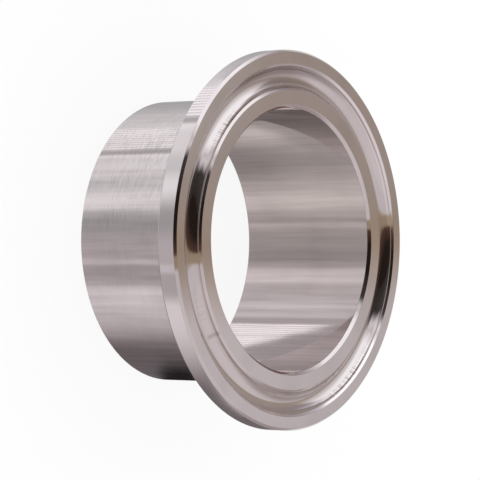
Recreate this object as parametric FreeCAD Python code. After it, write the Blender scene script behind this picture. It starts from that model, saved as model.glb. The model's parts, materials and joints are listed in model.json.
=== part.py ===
import FreeCAD, Part
import math
import os

# Sanitary weld ferrule for a 38.1 mm tube, turned from one piece of stainless steel.
# Lengths are in millimetres and angles in degrees. The axis is +Z: the weld end lies on z = 0,
# centred on the origin, and the gasket face looks up.

# Tube stub
tube_diameter = 38.1
tube_wall = 1.5
overall_length = 21.0

# Clamp flange
groove_beyond_tube = 2.6
rim_beyond_groove = 3.6
rim_thickness = 2.85
clamp_taper = 20.0
taper_root_radius = 1.5

# Round-bottomed gasket groove in the face
groove_section_radius = 1.55
groove_depth = 1.35

# Broken edges
bore_chamfer = 0.4
face_chamfer = 0.3
groove_edge_break = 0.25
rim_back_break = 0.15
weld_end_break = 0.15

# Worked out from the sizes above
tube_radius = tube_diameter / 2
bore_radius = tube_radius - tube_wall
groove_radius = tube_radius + groove_beyond_tube
flange_radius = groove_radius + rim_beyond_groove
face_height = overall_length
rim_back_height = face_height - rim_thickness
taper_slope = math.tan(math.radians(clamp_taper))

ORIGIN = FreeCAD.Vector(0, 0, 0)
AXIS = FreeCAD.Vector(0, 0, 1)


def section_point(radius, height):
    """A point of the half section, which lies in the XZ plane."""
    return FreeCAD.Vector(radius, 0, height)


def straight(points):
    """Straight edges through the points, in order."""
    return [Part.makeLine(start, end) for start, end in zip(points, points[1:])]


def groove_half_width(depth):
    """Half the groove's width, at this depth below the face."""
    below_centre = groove_section_radius - groove_depth + depth
    return math.sqrt(groove_section_radius**2 - below_centre**2)


def groove_edges():
    """The groove from its outer mouth to its inner one: a break, the round bottom and a break."""
    mouth = groove_half_width(0) + groove_edge_break
    lip = groove_half_width(groove_edge_break)
    lip_height = face_height - groove_edge_break
    bottom = section_point(groove_radius, face_height - groove_depth)
    outer_mouth = section_point(groove_radius + mouth, face_height)
    inner_mouth = section_point(groove_radius - mouth, face_height)
    outer_lip = section_point(groove_radius + lip, lip_height)
    inner_lip = section_point(groove_radius - lip, lip_height)
    round_bottom = Part.Arc(outer_lip, bottom, inner_lip).toShape()
    return straight([outer_mouth, outer_lip]) + [round_bottom] + straight([inner_lip, inner_mouth])


def taper_root_edges():
    """The fillet between the tube and the clamp taper, and the height where it leaves the tube."""
    turn = math.radians(90 - clamp_taper)
    corner_height = rim_back_height - (flange_radius - tube_radius) * taper_slope
    tangent = taper_root_radius * math.tan(turn / 2)
    centre = section_point(tube_radius + taper_root_radius, corner_height - tangent)

    def on_fillet(angle):
        toward = FreeCAD.Vector(-math.cos(angle), 0, math.sin(angle))
        return centre + toward * taper_root_radius

    return Part.Arc(on_fillet(0), on_fillet(turn / 2), on_fillet(turn)).toShape()


def outer_edges():
    """From the weld end, up the tube and the clamp taper, over the rim to the outer land."""
    root = taper_root_edges()
    tube_end, taper_start = root.Vertexes[0].Point, root.Vertexes[-1].Point
    up_tube = straight([
        section_point(tube_radius - weld_end_break, 0),
        section_point(tube_radius, weld_end_break),
        tube_end,
    ])
    over_rim = straight([
        taper_start,
        section_point(flange_radius - rim_back_break, rim_back_height - rim_back_break * taper_slope),
        section_point(flange_radius, rim_back_height + rim_back_break),
        section_point(flange_radius, face_height - face_chamfer),
        section_point(flange_radius - face_chamfer, face_height),
    ])
    return up_tube + [root] + over_rim


def inner_edges():
    """From the inner land, over the bore's chamfer and down the bore to the weld end."""
    return straight([
        section_point(bore_radius + bore_chamfer, face_height),
        section_point(bore_radius, face_height - bore_chamfer),
        section_point(bore_radius, weld_end_break),
        section_point(bore_radius + weld_end_break, 0),
    ])


def half_section():
    """The closed outline of the wall, cut through the axis."""
    outer, groove, inner = outer_edges(), groove_edges(), inner_edges()
    outer_land = straight([outer[-1].Vertexes[-1].Point, groove[0].Vertexes[0].Point])
    inner_land = straight([groove[-1].Vertexes[-1].Point, inner[0].Vertexes[0].Point])
    weld_face = straight([inner[-1].Vertexes[-1].Point, outer[0].Vertexes[0].Point])
    return Part.Wire(outer + outer_land + groove + inner_land + inner + weld_face)


def weld_ferrule():
    """The half section turned once about the axis, as one solid."""
    return Part.Face(half_section()).revolve(ORIGIN, AXIS, 360)


os.makedirs("parts", exist_ok=True)
ferrule = weld_ferrule()
ferrule.exportStep("parts/weld_ferrule.step")
print("bore", 2 * bore_radius, "groove", 2 * groove_radius, "flange", 2 * flange_radius)
print("valid", ferrule.isValid(), "solids", len(ferrule.Solids), "volume", round(ferrule.Volume, 2))
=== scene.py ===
"""A sanitary weld ferrule of turned stainless steel, standing on its weld end in a studio."""

import json
import math

import bmesh
import bpy
from bpy.props import FloatProperty, FloatVectorProperty, IntProperty, PointerProperty
from bpy.types import Operator, Panel, PropertyGroup
from mathutils import Euler, Matrix, Vector


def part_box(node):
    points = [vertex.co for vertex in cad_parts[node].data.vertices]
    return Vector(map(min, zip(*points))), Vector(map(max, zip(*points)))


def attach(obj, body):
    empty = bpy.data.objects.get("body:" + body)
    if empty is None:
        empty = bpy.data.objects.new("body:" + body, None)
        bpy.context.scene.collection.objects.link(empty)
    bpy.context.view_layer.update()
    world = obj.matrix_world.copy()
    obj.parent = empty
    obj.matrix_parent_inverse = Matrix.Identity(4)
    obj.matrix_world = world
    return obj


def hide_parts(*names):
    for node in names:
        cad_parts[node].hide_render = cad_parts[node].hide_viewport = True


bl_info = {
    "name": "Sanitary Weld Ferrule",
    "version": (1, 0, 0),
    "blender": (4, 5, 0),
    "location": "3D View > Sidebar > Ferrule",
    "description": "Turns a stainless weld ferrule and lights it in a small studio",
    "category": "Object",
}

NODE = "weld_ferrule"
BODY = "root"
MM = 0.001
IN_DEGREES = math.degrees(1)

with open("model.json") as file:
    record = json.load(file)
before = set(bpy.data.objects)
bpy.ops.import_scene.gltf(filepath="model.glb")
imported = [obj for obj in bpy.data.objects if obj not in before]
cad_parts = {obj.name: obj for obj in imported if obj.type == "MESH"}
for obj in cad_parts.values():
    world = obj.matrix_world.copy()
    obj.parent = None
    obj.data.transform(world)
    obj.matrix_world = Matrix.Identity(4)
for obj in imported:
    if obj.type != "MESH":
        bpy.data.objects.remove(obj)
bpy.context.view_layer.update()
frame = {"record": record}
mounts = {mount["name"]: mount for mount in frame["record"]["mounts"]}


def mount_size(mount, size):
    """One measured size of a mount, in metres."""
    return mounts[mount]["dims"][size] * MM


def mount_end(mount, side):
    """The height where a round mount ends: side is 1 for its top and -1 for its bottom."""
    return mounts[mount]["pos_m"][2] + side * mount_size(mount, "length_mm") / 2


def length(name, description, default):
    return FloatProperty(
        name=name, description=description, default=default, min=0, unit="LENGTH", precision=5
    )


def angle(name, description, degrees):
    return FloatProperty(name=name, description=description, default=math.radians(degrees), subtype="ANGLE")


def share(name, description, default):
    return FloatProperty(
        name=name, description=description, default=default, min=0, max=1, subtype="FACTOR"
    )


def level(name, description, default):
    return FloatProperty(name=name, description=description, default=default, min=0)


def colour(name, description, default):
    return FloatVectorProperty(
        name=name, description=description, default=default, min=0, soft_max=1, subtype="COLOR"
    )


class FerruleSizes(PropertyGroup):
    """The turned section. Radii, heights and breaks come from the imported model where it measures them."""

    tube_radius: length("Tube radius", "Outside of the tube stub", mount_size("weld_tube", "r_mm"))
    bore_radius: length("Bore radius", "Inside of the tube stub", mount_size("bore", "r_mm"))
    flange_radius: length("Flange radius", "Outside of the clamp flange", mount_size("clamp_rim", "r_mm"))
    face_height: length("Face height", "From the weld end to the gasket face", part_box(NODE)[1][2])
    rim_bottom: length("Rim bottom", "Where the rim's straight side starts", mount_end("clamp_rim", -1))
    rim_top: length("Rim top", "Where the rim's straight side ends", mount_end("clamp_rim", 1))
    bore_top: length("Bore top", "Where the bore's straight wall ends", mount_end("bore", 1))
    weld_end_break: length("Weld end break", "Break on both edges of the weld end", mount_end("bore", -1))
    groove_radius: length("Groove circle", "Middle of the gasket groove", 21.65 * MM)
    groove_section: length("Groove section", "Radius of the groove's round bottom", 1.55 * MM)
    groove_depth: length("Groove depth", "From the face to the groove's bottom", 1.35 * MM)
    groove_break: length("Groove edge break", "Edge break along both sides of the groove", 0.25 * MM)
    rim_back_break: length("Rim back break", "Edge break between the rim and the clamp taper", 0.15 * MM)
    taper_root: length("Taper root radius", "Fillet between the tube and the clamp taper", 1.5 * MM)
    clamp_taper: angle("Clamp taper", "Slope of the flange's back", 20)
    edge_softness: length("Edge softness", "What tumbling takes off each sharp edge", 0.04 * MM)
    crisp_edge: angle("Crisp edge", "Edges that turn more than this stay crisp, as the groove's do", 25)
    turns: IntProperty(name="Turning steps", description="Faces around the axis", default=384, min=48)


class FerruleFinish(PropertyGroup):
    """The look of the turned and polished steel."""

    steel: colour("Steel", "Colour of the bare steel", (0.66, 0.612, 0.605))
    stained: colour("Stained steel", "Colour where the steel is a little duller", (0.60, 0.555, 0.55))
    # Real light scratches, and also the painted highlight in the groove and the painted sheen on the rim
    scratch_and_highlight: colour("Scratch and highlight", "Colour of the light scratches", (0.86, 0.82, 0.82))
    # Painted shade: the darker colour laid over the groove on the picture's top side
    painted_groove_shade: colour("Painted groove shade", "Colour of the dull patch in the groove", (0.40, 0.335, 0.31))
    dark_scratch: colour("Dark scratch", "Colour of the dark scratches and ticks", (0.34, 0.31, 0.30))
    deep_glow: colour("Deep glow", "What the steel mirrors past its fourth reflection", (0.42, 0.37, 0.37))
    face_roughness: share("Face roughness", "The polished face and groove", 0.06)
    wall_roughness: share("Wall roughness", "The drawn tube, the rim and the bore", 0.05)
    line_pitch: length("Line pitch", "Distance between the finest turning lines", 0.22 * MM)
    line_depth: length("Line depth", "Depth of the turning lines", 0.00035 * MM)
    groove_line_pitch: length("Groove line pitch", "Distance between the groove's tool lines", 0.3 * MM)
    groove_line_depth: length("Groove line depth", "Depth of the groove's tool lines", 0.02 * MM)
    wave_height: length("Wave height", "Height of the drawn wall's waves", 0.009 * MM)
    scratches: share("Scratches", "Strength of the scratches all over the tube", 0.12)
    scuffs: share("Scuffs", "Strength added where the tube is scuffed", 0.6)
    light_streaks: share("Light streaks", "Strength of the light streaks along the stub", 0.25)
    dark_streaks: share("Dark streaks", "Strength of the dark streaks along the stub", 0.2)
    painted_rim_sheen: share("Painted rim sheen", "How much brighter the rim's side is", 0.35)
    painted_shade_strength: share("Painted shade strength", "Strength of the dull patch in the groove", 0.55)
    painted_edge_highlight: share("Painted edge highlight", "Strength of the bright line along the groove's outer edge", 0.7)
    chatter: share("Chatter", "Strength of the chatter ticks", 0.8)
    smudge: share("Smudge", "Strength of the smudge in the groove", 0.5)
    ticks: IntProperty(name="Chatter ticks", description="Chatter marks in a full turn", default=340, min=0)


class FerruleStudio(PropertyGroup):
    """The room of cards that the steel mirrors, and the camera."""

    floor_colour: colour("Floor", "Colour of the floor", (1.0, 1.0, 1.0))
    shadow_share: share("Shadow", "Strength of the ferrule's shadow on the floor", 0.12)
    floor_radius: length("Floor radius", "Half the width of the floor", 2.0)
    pale_wall: colour("Pale wall", "The studio wall on the picture's lower side", (0.807, 0.75, 0.773))
    back_wall: colour("Back wall", "The studio wall behind the ferrule", (0.453, 0.392, 0.348))
    back_wall_shade: colour("Back wall shade", "The back wall beside the soft box", (0.264, 0.216, 0.273))
    back_wall_foot: colour("Back wall foot", "The low part of the back wall", (0.261, 0.233, 0.22))
    back_corner: colour("Back corner", "The corner low behind the ferrule", (0.46, 0.403, 0.408))
    bright_floor: colour("Bright floor", "The floor behind the ferrule", (1.09, 1.12, 1.1))
    blurred_room: colour("Blurred room", "The room as a second reflection finds it", (0.615, 0.585, 0.567))
    dim_wall: colour("Dim wall", "The pale wall toward the beige strip", (0.421, 0.45, 0.451))
    beige_strip: colour("Beige strip", "The narrow wall beside the dark opening", (0.429, 0.335, 0.242))
    brown_edge: colour("Brown edge", "The edge of the dark opening", (0.11, 0.06, 0.045))
    dark_opening: colour("Dark opening", "The unlit room over the camera", (0.022, 0.016, 0.013))
    grey_opening: colour("Grey opening", "The far end of the unlit room", (0.06, 0.052, 0.052))
    soft_box: colour("Soft box", "The large white panel", (1.33, 1.34, 1.38))
    soft_box_end: colour("Soft box end", "The far end of the white panel", (0.715, 0.678, 0.682))
    box_seam: colour("Soft box seam", "The grey frame of the white panel", (0.61, 0.548, 0.558))
    wall_shade: share("Wall shade", "How far the pale wall darkens low down", 0.325)
    dim_wall_share: share("Dim wall share", "How far the pale wall dims toward the beige strip", 0.152)
    box_frame: share("Soft box frame", "How strongly the frame of the white panel shows", 0.566)
    box_crease: share("Soft box crease", "How strongly the crease beside the frame shows", 0.485)
    bright_floor_share: share("Bright floor share", "How strongly the bright floor shows", 0.647)
    blurred_share: share("Blurred share", "How far a second reflection is blurred", 0.446)
    lower_background: level("Lower background", "Behind the cards that the rim mirrors", 0.534)
    upper_background: level("Upper background", "Behind the cards that the bore mirrors", 0.438)
    blind_on_rim: level("Blind on the rim", "The blind that the rim mirrors", 1.3)
    blind_in_bore: level("Blind in the bore", "The blind that the bore mirrors", 1.45)
    slat_pitch: angle("Slat pitch", "Distance between the blind's slats", 2.4)
    slat_depth: share("Slat depth", "How dark the lines between the slats are", 0.42)
    table_shadow: level("Table shadow", "The dark strip low on the tube's lower side", 0.017)
    gleam: level("Gleam", "The gleam low in the bore", 0.757)
    dark_foot: level("Dark foot", "The dark foot of the cards in the bore", 0.317)
    eye_azimuth: angle("View azimuth", "Direction of the camera round the axis", 0.221)
    eye_elevation: angle("View elevation", "Height of the camera above the floor", 37.391)
    eye_roll: angle("View roll", "Turn of the picture, which lays the axis on its side", 89.636)
    eye_distance: length("View distance", "From the camera to the axis", 371.67 * MM)
    aim_side: length("Aim side", "How far the camera aims beside the axis", 0.06 * MM)
    aim_height: length("Aim height", "Height on the axis that the camera aims at", 11.94 * MM)
    lens: FloatProperty(name="Lens", description="Focal length", default=207.07, unit="CAMERA")


class Socket:
    """An output of a node. An expression on sockets adds its Math nodes."""

    def __init__(self, tree, output):
        self.tree = tree
        self.output = output

    def maths(self, operation, *values):
        return self.tree.node("Math", {"operation": operation}, dict(enumerate(values)))

    def __add__(self, other):
        return self.maths("ADD", self, other)

    def __radd__(self, other):
        return self.maths("ADD", other, self)

    def __sub__(self, other):
        return self.maths("SUBTRACT", self, other)

    def __rsub__(self, other):
        return self.maths("SUBTRACT", other, self)

    def __mul__(self, other):
        return self.maths("MULTIPLY", self, other)

    def __rmul__(self, other):
        return self.maths("MULTIPLY", other, self)

    def __truediv__(self, other):
        return self.maths("DIVIDE", self, other)

    def __pow__(self, other):
        return self.maths("POWER", self, other)

    def __abs__(self):
        return self.maths("ABSOLUTE", self)


class NodeTree:
    """A material's or the world's nodes, written from scratch."""

    def __init__(self, owner):
        owner.use_nodes = True
        self.tree = owner.node_tree
        self.tree.nodes.clear()

    def node(self, kind, settings=None, inputs=None, output=0):
        """Adds a node: its type, its settings, then the values or links of its sockets."""
        made = self.tree.nodes.new("ShaderNode" + kind)
        for name, value in (settings or {}).items():
            setattr(made, name, value)
        for name, value in (inputs or {}).items():
            if isinstance(value, Socket):
                self.tree.links.new(value.output, made.inputs[name])
            else:
                made.inputs[name].default_value = value
        return Socket(self, made.outputs[output]) if made.outputs else None

    def smooth(self, value, edge, softness):
        """0 below the edge and 1 above it, blended over the softness on each side."""
        return self.node(
            "MapRange",
            {"interpolation_type": "SMOOTHSTEP"},
            {"Value": value, "From Min": edge - softness, "From Max": edge + softness},
        )

    def between(self, value, start, end, softness):
        """1 from the start to the end and 0 elsewhere, blended over the softness at both."""
        return self.smooth(value, start, softness) * (1 - self.smooth(value, end, softness))

    def mix(self, mask, below, above):
        """Blends two colours by the mask."""
        return self.node(
            "Mix",
            {"data_type": "RGBA"},
            {0: mask, 6: rgba(below), 7: rgba(above)},
            output=2,
        )

    def tint(self, tone, tint):
        """A colour scaled by a tone."""
        return self.node("VectorMath", {"operation": "SCALE"}, {0: tint, "Scale": tone})


def rgba(tone):
    return tone if isinstance(tone, Socket) else (*tone[:3], 1)


def lay_over(tone, mask, brightness):
    """The tone with another brightness laid over it where the mask is 1."""
    return tone + mask * (brightness - tone)


def after_reflections(nodes, count):
    """1 for what is seen after at least this many reflections."""
    return nodes.smooth(nodes.node("LightPath", output="Glossy Depth"), count - 0.5, 0.1)


# Cards that stand low round the ferrule, below the height of its face: the azimuths where each starts
# and ends, the softness of those two edges, all in degrees, and its brightness. Azimuth 0 is the
# camera's side and 90 is the side that the picture shows at its top. Later cards stand in front.
# The tube and the rim mirror the lower row, and the bore mirrors the upper row.
LOWER_ROW = {
    "shaded_floor": (-190.4, -78.4, 29.7, 30.6, 0.179),
    "left_panel": (-73.5, -34.6, 29.4, 6.49, 0.853),
    "grey_post": (-34, -21.5, 6.32, 0.853, 0.507),
    "post_highlight": (-19.5, -13.8, 1.39, 1.66, 0.698),
    "front_card": (-13.7, 21.4, 2.41, 1.49, 0.574),
    "front_shade": (4.15, 20.9, 7.32, 8.33, 0.437),
    "front_panel": (24.6, 45, 8.22, 1.7, 1.01),
    "panel_gap": (40.4, 50.7, 5.94, 5.94, 0.754),
    "upper_panel": (50, 125.3, 8.22, 27.2, 0.931),
    "frame_highlight": (71.1, 75.5, 2.89, 0.224, 1.06),
    "frame_edge": (76, 81.2, 1.92, 1.03, 0.544),
    "back_panel": (170.1, 189.6, 12.5, 5.47, 0.694),
}
UPPER_ROW = {
    "left_panel": (-53.1, -23.7, 23.6, 1.48, 0.765),
    "grey_post": (-27.6, -18.8, 6.76, 4.62, 0.545),
    "post_highlight": (-15.7, -9.85, 1.59, 4.11, 0.599),
    "front_shade": (8.2, 18.2, 5.13, 1.6, 0.385),
    "front_panel": (25.2, 43.9, 7.15, 8.45, 0.841),
    "upper_panel": (42.6, 71.5, 10.1, 1.4, 0.682),
    "panel_highlight": (58.3, 63.7, 5.2, 3.38, 0.807),
    "frame_highlight": (67.9, 74.8, 1.61, 0.936, 0.748),
    "frame_edge": (74.1, 80.5, 2.48, 1.17, 0.554),
}

# Straight edges of what stands above the height of the face. Each has the azimuth and elevation that
# lie furthest past it, how far toward them it lies, from -1 to 1, and its softness.
ROOM_EDGES = {
    "back_corner": (205.5, -35.9, 0.372, 0.179),
    "dim_wall": (81.85, 0.05, -0.33, 0.036),
    "beige_strip": (81.85, 0.05, -0.126, 0.017),
    "brown_edge": (84.4, 0.15, -0.049, 0.015),
    "opening": (84.4, 0.15, 0.026, 0.115),
    "opening_far_in": (84.4, 0.15, 0.458, 0.008),
    "rail_top": (110.5, -22.5, -0.161, 0.018),
    "rail_bottom": (110.5, -22.5, -0.03, 0.018),
    "grey_end": (110.5, -22.5, -0.124, 0.265),
    "box_top": (110.5, -22.5, -0.006, 0.042),
    "box_by_strip": (81.85, 0.05, -0.084, 0.022),
    "back_wall_top": (2.9, 49.0, -0.033, 0.05),
    "back_wall_by_strip": (81.85, 0.05, -0.106, 0.011),
}


class MirroredRoom:
    """The room that the steel mirrors, as a colour by direction. Angles are in degrees."""

    def __init__(self, nodes, studio):
        self.nodes = nodes
        self.studio = studio
        self.direction = nodes.node("TexCoord", output="Generated")
        split = nodes.node("SeparateXYZ", inputs={0: self.direction}).output.node
        across, along, up = (Socket(nodes, output) for output in split.outputs)
        turn = nodes.node("Math", {"operation": "ARCTAN2"}, {0: -1 * across, 1: -1 * along})
        rise = nodes.node("Math", {"operation": "ARCSINE"}, {0: up})
        self.azimuth, self.elevation = turn * IN_DEGREES, rise * IN_DEGREES
        self.again = after_reflections(nodes, 2)

    def facing(self, azimuth, elevation):
        """How far the direction lies toward the two angles, from -1 to 1."""
        azimuth, elevation = math.radians(azimuth), math.radians(elevation)
        flat = math.cos(elevation)
        toward = -flat * math.sin(azimuth), -flat * math.cos(azimuth), math.sin(elevation)
        return self.nodes.node(
            "VectorMath",
            {"operation": "DOT_PRODUCT"},
            {0: self.direction, 1: toward},
            output="Value",
        )

    def past(self, edge):
        """1 past one of the room's straight edges and 0 before it."""
        azimuth, elevation, position, softness = ROOM_EDGES[edge]
        return self.nodes.smooth(self.facing(azimuth, elevation), position, softness)

    def row_of_cards(self, row, background):
        """Brightness of a row of cards."""
        nodes = self.nodes
        tone = background
        for start, end, start_softness, end_softness, brightness in row.values():
            middle = (start + end) / 2
            offset = nodes.node(
                "Math", {"operation": "WRAP"}, {0: self.azimuth - middle, 1: 180.0, 2: -180.0}
            )
            inside = nodes.smooth(offset, start - middle, start_softness)
            outside = nodes.smooth(offset, end - middle, end_softness)
            tone = lay_over(tone, inside * (1 - outside), brightness)
        return tone

    def slats(self):
        """The blind's slats: 1 with thin darker lines."""
        studio = self.studio
        turn = (self.azimuth - 1.4) * (2 * math.pi / math.degrees(studio.slat_pitch))
        wave = self.nodes.node("Math", {"operation": "SINE"}, {0: turn})
        return 1 - self.nodes.smooth(wave, 0.2, 0.5) * studio.slat_depth

    def lower_cards(self):
        """Brightness of what the tube and the rim mirror low down."""
        nodes, studio = self.nodes, self.studio
        tone = self.row_of_cards(LOWER_ROW, studio.lower_background)
        blind = nodes.between(self.azimuth, 80.9, 106.4, 2.1)
        tone = lay_over(tone, blind, studio.blind_on_rim * self.slats())
        table_end = 1 - nodes.smooth(self.azimuth, -119.4, 23.8)
        table_shadow = table_end * nodes.between(self.elevation, -39, -38.2, 0.11)
        return lay_over(tone, table_shadow, studio.table_shadow)

    def upper_cards(self):
        """Brightness of what the bore mirrors low down. The blind's slanted top shows as a wedge."""
        nodes, studio, azimuth, elevation = self.nodes, self.studio, self.azimuth, self.elevation
        tone = self.row_of_cards(UPPER_ROW, studio.upper_background)
        blind_top = -35.5 - (azimuth - 80.5) * 0.0575
        blind = nodes.between(azimuth, 80.7, 116, 0.9) * (1 - nodes.smooth(elevation - blind_top, 0, 0.05))
        tone = lay_over(tone, blind, studio.blind_in_bore * self.slats())
        gleam_top = -36.95 + (azimuth + 121.8) * 0.028
        below_gleam_top = 1 - nodes.smooth(elevation - gleam_top, 0, 0.25)
        tone = lay_over(tone, nodes.between(azimuth, -128.9, -90.8, 13.1) * below_gleam_top, studio.gleam)
        foot = nodes.between(azimuth, -97.3, -54.3, 17.7) * (1 - nodes.smooth(elevation, -36.5, 0.85))
        return lay_over(tone, foot, studio.dark_foot)

    def low_colour(self):
        """The colour of what stands below the height of the face."""
        nodes, azimuth = self.nodes, self.azimuth
        lower = self.lower_cards()

        # The bore's row stands above a curved line, and only beside and in front
        side = abs(azimuth)
        beyond_side = nodes.node("Math", {"operation": "MAXIMUM"}, {0: side - 93.1, 1: 0.0})
        split = -37.85 + beyond_side * 0.016
        above = nodes.smooth(self.elevation - split, 0.006, 0.062) * (1 - nodes.smooth(side, 134.8, 1))
        seen_once = lay_over(lower, above, self.upper_cards())

        # A second reflection in the bore finds a softer room
        seen_twice = 0.277 + 0.532 * nodes.smooth(azimuth, -20.6, 65.5)
        seen_twice = seen_twice - 0.274 * nodes.smooth(azimuth, 87.7, 37.1)
        tone = lay_over(seen_once, self.again, seen_twice)

        # Dark cards are pinker than bright ones. The rim's row is cooler from the camera to the picture's
        # top, and the bore's row is warmer on the picture's lower side.
        tint = nodes.mix(tone, (1.0, 0.86, 0.91), (1.0, 0.96, 0.99))
        tint = nodes.mix(nodes.smooth(azimuth, 6, 8) * (1 - above), tint, (0.98, 0.965, 0.99))
        warm = 1 - nodes.smooth(azimuth + self.again * 35, 30, 45)
        tint = nodes.mix(warm * above, tint, (1.03, 0.95, 0.93))
        return nodes.tint(tone, tint)

    def pale_wall(self):
        """The pale wall, shaded low down and behind the ferrule."""
        nodes, studio = self.nodes, self.studio
        low = 1 - nodes.smooth(self.elevation, 21.9, 18)
        room = nodes.mix(low * studio.wall_shade, studio.pale_wall, studio.back_wall)
        low = 1 - nodes.smooth(self.elevation, 26.4, 12.6)
        behind = 1 - nodes.smooth(self.azimuth, -146.3, 13.6)
        room = nodes.mix(low * behind, room, studio.back_wall)
        return nodes.mix(self.past("back_corner"), room, studio.back_corner)

    def add_opening(self, room):
        """The wall dims toward a beige strip, past which lies the dark opening with its brown edge."""
        nodes, studio = self.nodes, self.studio
        room = nodes.mix(self.past("dim_wall") * studio.dim_wall_share, room, studio.dim_wall)
        room = nodes.mix(self.past("beige_strip"), room, studio.beige_strip)
        room = nodes.mix(self.past("brown_edge"), room, studio.brown_edge)

        # The opening is greyer far in and along a rail over the soft box
        rail = self.past("rail_top") * (1 - self.past("rail_bottom"))
        grey = nodes.node("Math", {"operation": "MAXIMUM"}, {0: self.past("opening_far_in"), 1: rail})
        opening = nodes.mix(grey * self.past("grey_end"), studio.dark_opening, studio.grey_opening)
        return nodes.mix(self.past("opening"), room, opening)

    def add_soft_box(self, room):
        """The soft box has an upright edge, a cut corner and a tilted top, and fades toward the back."""
        nodes, studio = self.nodes, self.studio
        upright, cut_corner = self.facing(142.1, -0.4), self.facing(130.4, -19.6)
        inward = nodes.node("Math", {"operation": "MINIMUM"}, {0: upright, 1: 2.02 * cut_corner})
        box = nodes.smooth(inward, -0.021, 0.132) * self.past("box_top") * self.past("box_by_strip")
        tone = nodes.mix(nodes.smooth(self.azimuth, 141.8, 30.4), studio.soft_box, studio.soft_box_end)
        frame_part = (1 - nodes.smooth(inward, 0.208, 0.03)) * studio.box_frame
        tone = nodes.mix(frame_part, tone, studio.box_seam)
        crease_part = nodes.between(inward, 0.128, 0.293, 0.071) * studio.box_crease
        tone = nodes.mix(crease_part, tone, studio.box_seam)
        return nodes.mix(box, room, tone)

    def add_back_wall(self, room):
        """The back wall stands beside the box, below a slanted edge."""
        nodes, studio, elevation = self.nodes, self.studio, self.elevation
        turned = nodes.node("Math", {"operation": "WRAP"}, {0: self.azimuth, 1: 360.0, 2: 0.0})
        wall = nodes.smooth(turned - 0.018 * elevation, 129.4, 23.5)
        wall = wall * (1 - nodes.smooth(turned + 1.93 * elevation, 265.6, 1.35))
        wall = wall * (1 - self.past("back_wall_top")) * self.past("back_wall_by_strip")
        tone = nodes.mix(nodes.smooth(turned, 146.4, 25.4), studio.back_wall_shade, studio.back_wall)
        tone = nodes.mix(1 - nodes.smooth(elevation, -0.84, 0.62), tone, studio.back_wall_foot)
        return nodes.mix(wall, room, tone)

    def colour(self):
        """The whole room. A second reflection, in the groove, finds it blurred."""
        nodes, studio = self.nodes, self.studio
        room = self.add_back_wall(self.add_soft_box(self.add_opening(self.pale_wall())))
        behind = nodes.smooth(abs(self.azimuth), 138.4, 5.8)
        far_floor = behind * nodes.between(self.elevation, -32.2, -0.56, 4.6)
        room = nodes.mix(far_floor * studio.bright_floor_share, room, studio.bright_floor)
        room = nodes.mix(self.again * studio.blurred_share, room, studio.blurred_room)
        return nodes.mix(1 - nodes.smooth(self.elevation, -24, 7), room, self.low_colour())


def light_world(studio):
    """Plain white for the camera and for soft light; the room for what the steel mirrors."""
    world = bpy.data.worlds.new("studio")
    bpy.context.scene.world = world
    nodes = NodeTree(world)
    mirrored = nodes.node("LightPath", output="Is Glossy Ray")
    seen = nodes.mix(mirrored, (1, 1, 1), MirroredRoom(nodes, studio).colour())
    background = nodes.node("Background", inputs={"Color": seen, "Strength": 1.0})
    nodes.node("OutputWorld", inputs={"Surface": background})
    world.cycles.sampling_method = "NONE"


# Where chatter of the tool shows in the groove, as short ticks. Each patch has its inner and outer
# distance from the groove's circle and their softness, in millimetres, then its first and last angle
# round the ring and their softness, in degrees, and its strength.
CHATTER = {
    "upper_left": (-1.5, -1.05, 0.1, 36, 54, 5, 1.0),
    "lower_right": (1.05, 1.5, 0.1, -138, -112, 5, 1.0),
    "lower_left": (-1.15, -0.45, 0.15, -30, -16, 4, 0.3),
}
# A grey smudge across the groove's inner side, low on the left, given in the same way
SMUDGE = (-1.65, -0.45, 0.25, -37.2, -35.6, 0.7, 1.0)


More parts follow.
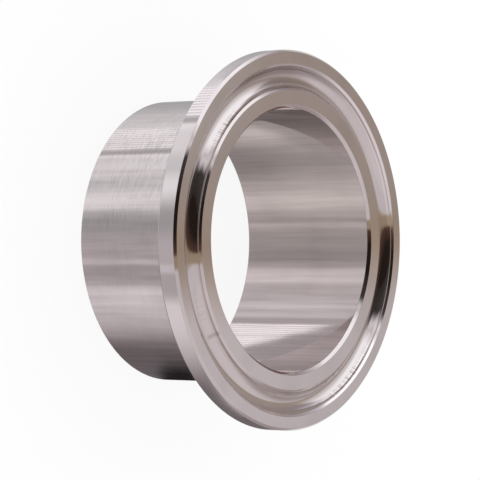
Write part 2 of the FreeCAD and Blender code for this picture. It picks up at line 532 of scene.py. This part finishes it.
class TurnedSteel:
    """Polished steel with turning lines round the axis and drawing streaks along it."""

    def __init__(self, nodes, sizes, finish):
        self.nodes = nodes
        self.finish = finish
        self.place = nodes.node("TexCoord", output="Object")
        split = nodes.node("SeparateXYZ", inputs={0: self.place}).output.node
        x, y, z = (Socket(nodes, output) for output in split.outputs)
        radius = (x * x + y * y) ** 0.5
        self.along_section = radius + z
        self.off_circle = radius - sizes.groove_radius
        self.ring_angle = nodes.node("Math", {"operation": "ARCTAN2"}, {0: -1 * x, 1: -1 * y}) * IN_DEGREES

        # Which parts of the section the point lies on
        face, tube, flange = sizes.face_height, sizes.tube_radius, sizes.flange_radius
        self.on_wall = 1 - nodes.smooth(z, face - 0.3 * MM, 0.1 * MM)
        self.on_stub = self.on_wall * (1 - nodes.smooth(radius, tube + 1 * MM, 0.5 * MM))
        self.on_rim = self.on_wall * nodes.smooth(radius, flange - 0.1 * MM, 0.05 * MM)
        self.outside = nodes.smooth(radius, tube - 0.5 * MM, 0.2 * MM)
        self.below_face = 1 - nodes.smooth(z, face - 0.04 * MM, 0.03 * MM)
        self.in_groove = nodes.between(self.off_circle, -2 * MM, 2 * MM, 0.05 * MM) * self.below_face

        # How far across the groove's round bottom it lies
        groove_centre = face - sizes.groove_depth + sizes.groove_section
        swing = nodes.node("Math", {"operation": "ARCTAN2"}, {0: self.off_circle, 1: groove_centre - z})
        self.across_groove = swing * sizes.groove_section

        self.cloud = nodes.node("TexNoise", inputs={"Vector": self.place, "Scale": 140.0, "Detail": 3.0})
        self.light_marks, self.dark_marks = self.stub_marks()

    def stretched_noise(self, across, along, detail):
        """Noise with a grain of its own across the axis and along it. Both scales are per metre."""
        scales = {0: self.place, 1: (across, across, along)}
        grain = self.nodes.node("VectorMath", {"operation": "MULTIPLY"}, scales)
        return self.nodes.node("TexNoise", inputs={"Vector": grain, "Scale": 1.0, "Detail": detail})

    def line_noise(self, position, pitch, detail):
        """Noise along one line, with its grain at the pitch."""
        return self.nodes.node(
            "TexNoise",
            {"noise_dimensions": "1D"},
            {"W": position / pitch, "Scale": 1.0, "Detail": detail},
        )

    def patch(self, inner, outer, edge_softness, start, end, end_softness, strength):
        """A patch of the groove."""
        across = self.nodes.between(self.off_circle, inner * MM, outer * MM, edge_softness * MM)
        return across * self.nodes.between(self.ring_angle, start, end, end_softness) * strength

    def height(self):
        """Waves of the drawn wall, fine turning lines, and coarser lines in the groove."""
        finish = self.finish
        waves = self.stretched_noise(420.0, 130.0, 1.0) * self.on_stub
        lines = self.line_noise(self.along_section, finish.line_pitch, 2.0) * (0.25 + self.outside * 0.75)
        groove_lines = self.line_noise(self.across_groove, finish.groove_line_pitch, 1.0) * self.in_groove
        height = waves * finish.wave_height + lines * finish.line_depth
        return height + groove_lines * finish.groove_line_depth

    def stub_marks(self):
        """Light and dark marks: scratches that run round the stub, and streaks along it."""
        nodes, finish = self.nodes, self.finish
        scratches = self.stretched_noise(600.0, 5200.0, 3.0)
        streaks = self.stretched_noise(1500.0, 60.0, 3.0)
        on_tube = self.on_stub * self.outside
        scuffed = on_tube * nodes.between(self.ring_angle, 12, 70, 14) * nodes.smooth(self.cloud, 0.5, 0.2)
        scratched = on_tube * finish.scratches + scuffed * finish.scuffs
        light = nodes.smooth(scratches, 0.6, 0.1) * scratched
        light = light + nodes.smooth(streaks, 0.6, 0.12) * finish.light_streaks
        dark = nodes.smooth(1 - scratches, 0.62, 0.1) * scratched * 0.7
        dark = dark + nodes.smooth(1 - streaks, 0.6, 0.12) * finish.dark_streaks
        return light * self.on_stub, dark * self.on_stub

    def mark_groove(self, steel):
        """The groove gets painted shade, a painted highlight by its outer edge, chatter ticks and a smudge.
        """
        nodes, finish = self.nodes, self.finish

        # Painted shade in the groove, on the side that the picture shows at its top. It slants by 9.5
        # degrees a millimetre
        slanted_angle = self.ring_angle + self.off_circle * (9.5 / MM)
        darkened = nodes.between(slanted_angle, 63, 104, 8) * self.in_groove
        steel = nodes.mix(darkened * finish.painted_shade_strength, steel, finish.painted_groove_shade)
        # Painted highlight: a bright line along the groove's outer edge
        outer_edge = nodes.between(self.off_circle, 1.3 * MM, 1.78 * MM, 0.04 * MM) * self.in_groove
        steel = nodes.mix(outer_edge * finish.painted_edge_highlight, steel, finish.scratch_and_highlight)

        # The ticks are uneven in pitch and strength
        unevenness = self.line_noise(self.ring_angle, 1.1, 1.0)
        tick_turn = self.ring_angle * math.radians(finish.ticks) + unevenness * 9
        tick_wave = nodes.node("Math", {"operation": "SINE"}, {0: tick_turn})
        chatter = sum(self.patch(*extent) for extent in CHATTER.values()) * self.below_face
        ticks = chatter * nodes.smooth(tick_wave, 0.2, 0.5) * nodes.smooth(unevenness, 0.42, 0.15)
        steel = nodes.mix(ticks * finish.chatter, steel, finish.dark_scratch)
        return nodes.mix(self.patch(*SMUDGE) * finish.smudge, steel, finish.dark_scratch)

    def colour(self):
        nodes, finish = self.nodes, self.finish
        steel = nodes.mix(nodes.smooth(self.cloud, 0.6, 0.2), finish.steel, finish.stained)
        steel = nodes.mix(self.light_marks, steel, finish.scratch_and_highlight)
        steel = nodes.mix(self.dark_marks, steel, finish.dark_scratch)
        # Painted sheen: the rim's side is made brighter than the rest of the steel
        steel = nodes.mix(self.on_rim * finish.painted_rim_sheen, steel, finish.scratch_and_highlight)
        return self.mark_groove(steel)

    def roughness(self):
        """Light marks are a little rougher than the rest."""
        face, wall = self.finish.face_roughness, self.finish.wall_roughness
        return face + self.on_wall * (wall - face) + self.cloud * 0.01 + self.light_marks * 0.04


def steel_material(sizes, finish):
    material = bpy.data.materials.new("turned_stainless")
    nodes = NodeTree(material)
    steel = TurnedSteel(nodes, sizes, finish)
    bump = nodes.node("Bump", inputs={"Strength": 1.0, "Distance": 1.0, "Height": steel.height()})

    # After the fourth reflection, deep in the bore, a dim glow stands for the reflections left out
    glow = nodes.mix(after_reflections(nodes, 4), (0, 0, 0), finish.deep_glow)
    shader = nodes.node(
        "BsdfPrincipled",
        inputs={
            "Base Color": steel.colour(),
            "Metallic": 1.0,
            "Roughness": steel.roughness(),
            "Normal": bump,
            "Emission Color": glow,
            "Emission Strength": 1.0,
        },
    )
    nodes.node("OutputMaterial", inputs={"Surface": shader})
    return material


def floor_material(studio):
    material = bpy.data.materials.new("pale_floor")
    nodes = NodeTree(material)
    lit = nodes.node("BsdfDiffuse", inputs={"Color": (*studio.floor_colour, 1)})
    plain = nodes.node("Emission", inputs={"Color": (*studio.floor_colour, 1), "Strength": 1.0})
    seen = nodes.node("LightPath", output="Is Camera Ray") * (1 - studio.shadow_share)
    shader = nodes.node("MixShader", inputs={0: seen, 1: lit, 2: plain})
    nodes.node("OutputMaterial", inputs={"Surface": shader})
    return material


class Outline:
    """An outline drawn in the XZ plane, where X is the radius and Z the height."""

    def __init__(self, bm, radius, height):
        self.bm = bm
        self.first = self.last = bm.verts.new((radius, 0, height))
        self.soft_corners = [self.first]

    def line(self, radius, height, soft=True):
        corner = self.bm.verts.new((radius, 0, height))
        self.bm.edges.new((self.last, corner))
        if soft:
            self.soft_corners.append(corner)
        self.last = corner

    def arc(self, radius, height, turn, steps):
        """Swings the last point about a centre, clockwise seen from the camera's side."""
        swung = bmesh.ops.spin(
            self.bm, geom=[self.last], cent=(radius, 0, height), axis=(0, 1, 0), angle=turn, steps=steps
        )
        self.last = next(part for part in swung["geom_last"] if isinstance(part, bmesh.types.BMVert))

    def close(self, softness):
        """Joins the last point to the first and rounds the soft corners."""
        self.bm.edges.new((self.last, self.first))
        bmesh.ops.bevel(
            self.bm,
            geom=self.soft_corners,
            offset=softness,
            offset_type="OFFSET",
            affect="VERTICES",
            segments=4,
            profile=0.5,
            material=-1,
        )


def groove_half_width(sizes, depth):
    """Half the groove's width, at this depth below the face."""
    below_centre = sizes.groove_section - sizes.groove_depth + depth
    return math.sqrt(sizes.groove_section**2 - below_centre**2)


def draw_section(bm, sizes):
    """The ferrule's half section, from the weld end round by the tube, the flange and the bore."""
    tube, bore, flange, face = sizes.tube_radius, sizes.bore_radius, sizes.flange_radius, sizes.face_height
    groove, end_break, slope = sizes.groove_radius, sizes.weld_end_break, math.tan(sizes.clamp_taper)
    rim_back_height = sizes.rim_bottom - sizes.rim_back_break
    root_turn = math.pi / 2 - sizes.clamp_taper
    root_height = rim_back_height - (flange - tube) * slope - sizes.taper_root * math.tan(root_turn / 2)
    face_chamfer, bore_chamfer = face - sizes.rim_top, face - sizes.bore_top
    mouth = groove_half_width(sizes, 0) + sizes.groove_break
    lip = groove_half_width(sizes, sizes.groove_break)
    lip_height = face - sizes.groove_break
    groove_centre = face - sizes.groove_depth + sizes.groove_section
    groove_turn = 2 * math.asin(lip / sizes.groove_section)

    outline = Outline(bm, tube - end_break, 0)
    outline.line(tube, end_break)
    outline.line(tube, root_height, soft=False)
    outline.arc(tube + sizes.taper_root, root_height, root_turn, 24)
    outline.line(flange - sizes.rim_back_break, rim_back_height - sizes.rim_back_break * slope)
    outline.line(flange, sizes.rim_bottom)
    outline.line(flange, sizes.rim_top)
    outline.line(flange - face_chamfer, face)
    outline.line(groove + mouth, face, soft=False)
    outline.line(groove + lip, lip_height, soft=False)
    outline.arc(groove, groove_centre, groove_turn, 48)
    outline.line(groove - mouth, face, soft=False)
    outline.line(bore + bore_chamfer, face)
    outline.line(bore, sizes.bore_top)
    outline.line(bore, end_break)
    outline.line(bore + end_break, 0)
    outline.close(sizes.edge_softness)


def make_mesh(name, bm):
    mesh = bpy.data.meshes.new(name)
    bm.to_mesh(mesh)
    bm.free()
    piece = bpy.data.objects.new(name, mesh)
    bpy.context.scene.collection.objects.link(piece)
    return piece


class FERRULE_OT_turn(Operator):
    """Turn the ferrule's section into the finished piece"""

    bl_idname = "ferrule.turn"
    bl_label = "Turn the Ferrule"

    def execute(self, context):
        sizes = context.scene.ferrule_sizes
        bm = bmesh.new()
        draw_section(bm, sizes)
        bmesh.ops.spin(
            bm,
            geom=bm.verts[:] + bm.edges[:],
            cent=(0, 0, 0),
            axis=(0, 0, 1),
            angle=2 * math.pi,
            steps=sizes.turns,
            use_merge=True,
        )
        bmesh.ops.remove_doubles(bm, verts=bm.verts, dist=0.0001 * MM)
        bmesh.ops.recalc_face_normals(bm, faces=bm.faces)
        for face in bm.faces:
            face.smooth = True
        for edge in bm.edges:
            edge.smooth = edge.calc_face_angle(0) < sizes.crisp_edge
        piece = make_mesh("ferrule", bm)
        piece.data.materials.append(steel_material(sizes, context.scene.ferrule_finish))
        weighted = piece.modifiers.new("flat lands", "WEIGHTED_NORMAL")
        weighted.mode = "FACE_AREA"
        weighted.keep_sharp = True
        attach(piece, BODY)
        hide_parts(NODE)
        return {"FINISHED"}


class FERRULE_OT_stage(Operator):
    """Lay the floor, hang the studio's cards and set up the camera"""

    bl_idname = "ferrule.stage"
    bl_label = "Set the Stage"

    def execute(self, context):
        studio = context.scene.ferrule_studio
        bm = bmesh.new()
        bmesh.ops.create_circle(bm, cap_ends=True, segments=96, radius=studio.floor_radius)
        floor = make_mesh("floor", bm)
        floor.data.materials.append(floor_material(studio))
        floor.visible_glossy = False
        light_world(studio)
        self.aim_camera(context.scene, studio)
        context.scene.view_settings.view_transform = "Standard"
        return {"FINISHED"}

    @staticmethod
    def aim_camera(scene, studio):
        camera = bpy.data.objects.new("camera", bpy.data.cameras.new("camera"))
        scene.collection.objects.link(camera)
        camera.data.lens = studio.lens
        turned = Euler((math.pi / 2 - studio.eye_elevation, 0, studio.eye_azimuth)).to_matrix()
        turned = turned @ Matrix.Rotation(studio.eye_roll, 3, "Z")
        aim = Vector((-studio.aim_side, 0, studio.aim_height))
        eye = aim + turned @ Vector((0, 0, studio.eye_distance))
        camera.matrix_world = Matrix.Translation(eye) @ turned.to_4x4()
        camera.data.clip_start = studio.eye_distance / 10
        scene.camera = camera


class FERRULE_PT_sidebar(Panel):
    """Sizes, finish and studio of the ferrule"""

    bl_idname = "FERRULE_PT_sidebar"
    bl_label = "Sanitary Weld Ferrule"
    bl_space_type = "VIEW_3D"
    bl_region_type = "UI"
    bl_category = "Ferrule"

    def draw(self, context):
        scene = context.scene
        for operator, settings in (
            (FERRULE_OT_turn, (scene.ferrule_sizes, scene.ferrule_finish)),
            (FERRULE_OT_stage, (scene.ferrule_studio,)),
        ):
            box = self.layout.box()
            box.operator(operator.bl_idname)
            for group in settings:
                for name in group.__annotations__:
                    box.prop(group, name)


CLASSES = (
    FerruleSizes,
    FerruleFinish,
    FerruleStudio,
    FERRULE_OT_turn,
    FERRULE_OT_stage,
    FERRULE_PT_sidebar,
)


def register():
    for each in CLASSES:
        bpy.utils.register_class(each)
    bpy.types.Scene.ferrule_sizes = PointerProperty(type=FerruleSizes)
    bpy.types.Scene.ferrule_finish = PointerProperty(type=FerruleFinish)
    bpy.types.Scene.ferrule_studio = PointerProperty(type=FerruleStudio)


def unregister():
    del bpy.types.Scene.ferrule_sizes
    del bpy.types.Scene.ferrule_finish
    del bpy.types.Scene.ferrule_studio
    for each in reversed(CLASSES):
        bpy.utils.unregister_class(each)


def main():
    register()
    bpy.ops.ferrule.turn()
    bpy.ops.ferrule.stage()


if __name__ == "__main__":
    main()
